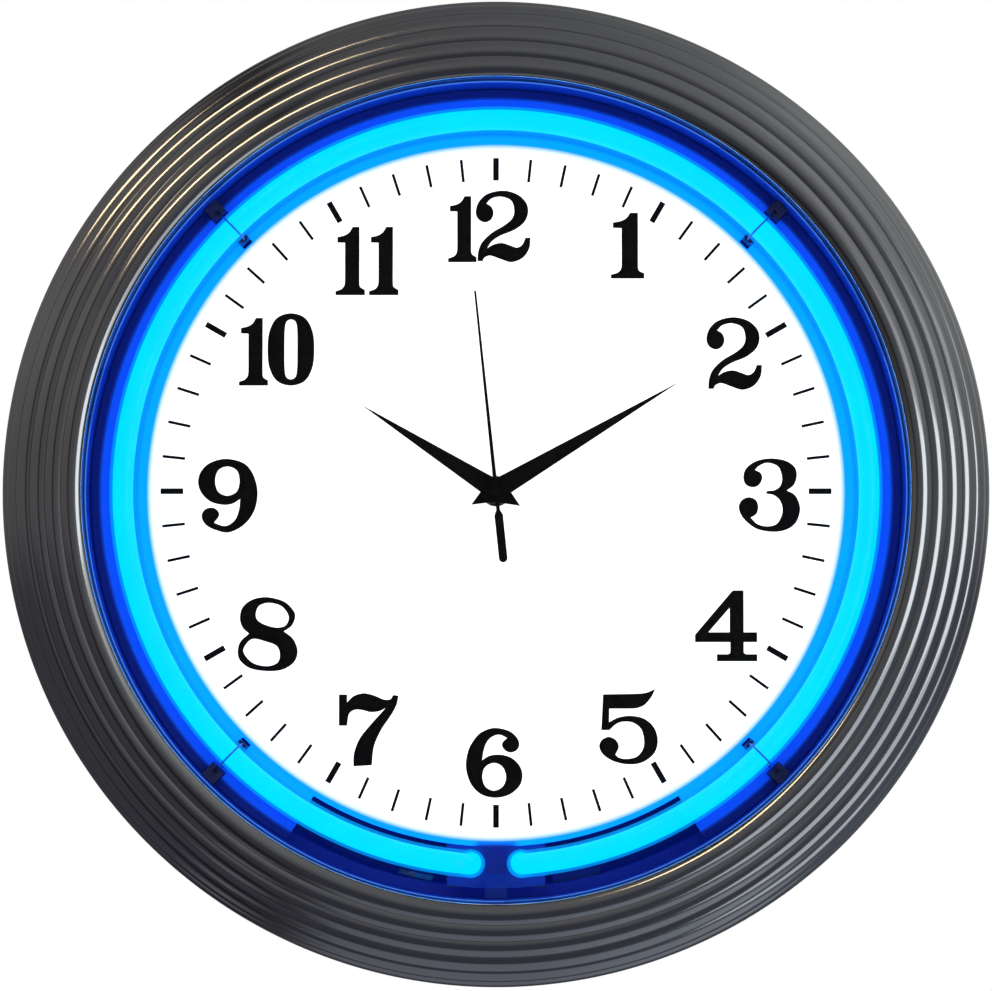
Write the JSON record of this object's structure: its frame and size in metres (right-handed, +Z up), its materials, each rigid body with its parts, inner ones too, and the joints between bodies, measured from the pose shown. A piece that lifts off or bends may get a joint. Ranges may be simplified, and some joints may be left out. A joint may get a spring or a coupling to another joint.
{
  "type": "wall clock",
  "caption": "Round wall clock with a ribbed bright rim, a lit glass ring tube around a white dial, three hands and a quartz movement.",
  "frame": {"origin": "centre of the clock on its back plane, the plane that rests on the wall", "axes": "+Z up towards twelve o'clock, +Y into the wall, the dial faces -Y, +X towards three o'clock"},
  "size_m": [0.3814, 0.0899, 0.3814],
  "materials": {
    "rim": "dark bright metallised plastic",
    "clear_glass": "clear",
    "black_rubber": "matt",
    "blue_plastic": "smooth, satin blue",
    "dial_white": "white",
    "print_black": "screen print",
    "lit_tube": "lit gas tube",
    "black_plastic": "textured",
    "support_plastic": "smooth",
    "zinc_steel": "zinc plated",
    "black_steel": "black",
    "wire_grey": "silicone",
    "wire_red": "insulation",
    "copper": "enamelled wire",
    "brass": "turned",
    "board_green": "solder mask",
    "gear_plastic": "moulded",
    "switch_red": "smooth",
    "cell_wrap": "printed wrap"
  },
  "bodies": {
    "clock": {"bezel": "rim", "lens": "clear_glass", "lens_gasket": "black_rubber", "inner_sleeve": "blue_plastic", "sleeve_screws": "zinc_steel", "reflector_pan": "blue_plastic", "pan_screws": "zinc_steel", "dial": "dial_white", "dial_marks": "print_black", "neon_tube": "lit_tube", "electrode_left": "zinc_steel", "electrode_right": "zinc_steel", "boot_left": "black_rubber", "boot_right": "black_rubber", "high_voltage_lead_left": "wire_grey", "high_voltage_lead_right": "wire_grey", "electrode_holder": "support_plastic", "tube_support_1": "support_plastic", "tube_support_2": "support_plastic", "tube_support_3": "support_plastic", "tube_support_4": "support_plastic", "tie_wires": "support_plastic", "back_case": "black_plastic", "case_screws": "black_steel", "hanger_plate": "zinc_steel", "hanger_rivets": "zinc_steel", "supply_base": "black_plastic", "supply_cover": "black_plastic", "supply_transformer": "copper", "supply_screws": "zinc_steel", "power_jack": "black_plastic", "power_jack_nut": "zinc_steel", "low_voltage_leads": "wire_red", "switch_body": "black_plastic", "movement_front": "black_plastic", "movement_back": "black_plastic", "movement_plate": "gear_plastic", "mounting_washer": "black_rubber", "dial_washer": "black_steel", "dial_nut": "black_steel", "circuit_board": "board_green", "crystal": "zinc_steel", "coil": "copper", "stator": "zinc_steel", "battery": "cell_wrap", "battery_contacts": "zinc_steel"},
    "minute": {"centre_wheel": "gear_plastic", "minute_hand": "print_black"},
    "second": {"second_wheel": "gear_plastic", "second_hand": "print_black"},
    "hour": {"hour_wheel": "gear_plastic", "hour_hand": "print_black"},
    "third": {"third_wheel": "gear_plastic"},
    "step": {"step_wheel": "gear_plastic"},
    "rotor": {"rotor": "black_steel"},
    "setting": {"minute_wheel": "gear_plastic", "setting_knob": "gear_plastic"},
    "rocker": {"switch_rocker": "switch_red"}
  },
  "joints": [
    {"name": "minute_turn", "type": "hinge", "parent": "clock", "child": "minute", "pos_m": [0, -0.06, 0], "axis": [0, 1, 0], "continuous": true},
    {"name": "second_turn", "type": "hinge", "parent": "clock", "child": "second", "pos_m": [0, -0.06, 0], "axis": [0, 1, 0], "continuous": true},
    {"name": "hour_turn", "type": "hinge", "parent": "clock", "child": "hour", "pos_m": [0, -0.06, 0], "axis": [0, 1, 0], "continuous": true},
    {"name": "third_turn", "type": "hinge", "parent": "clock", "child": "third", "pos_m": [0.0115, -0.05, 0.00419], "axis": [0, 1, 0], "continuous": true},
    {"name": "step_turn", "type": "hinge", "parent": "clock", "child": "step", "pos_m": [-0.01, -0.05, 0.00577], "axis": [0, 1, 0], "continuous": true},
    {"name": "rotor_turn", "type": "hinge", "parent": "clock", "child": "rotor", "pos_m": [-0.0136, -0.05, 0.01201], "axis": [0, 1, 0], "continuous": true},
    {"name": "setting_turn", "type": "hinge", "parent": "clock", "child": "setting", "pos_m": [0, -0.05, 0.01296], "axis": [0, 1, 0], "continuous": true},
    {"name": "rocker_tilt", "type": "hinge", "parent": "clock", "child": "rocker", "pos_m": [0.03275, -0.022, -0.15406], "axis": [0, 1, 0], "range_deg": [0, 16]}
  ],
  "couplings": [
    {"joint": "second_turn", "follows": "minute_turn", "ratio": 60},
    {"joint": "hour_turn", "follows": "minute_turn", "ratio": 0.083333},
    {"joint": "third_turn", "follows": "minute_turn", "ratio": -8},
    {"joint": "step_turn", "follows": "minute_turn", "ratio": -360},
    {"joint": "rotor_turn", "follows": "minute_turn", "ratio": 1800},
    {"joint": "setting_turn", "follows": "minute_turn", "ratio": -0.33333}
  ]
}
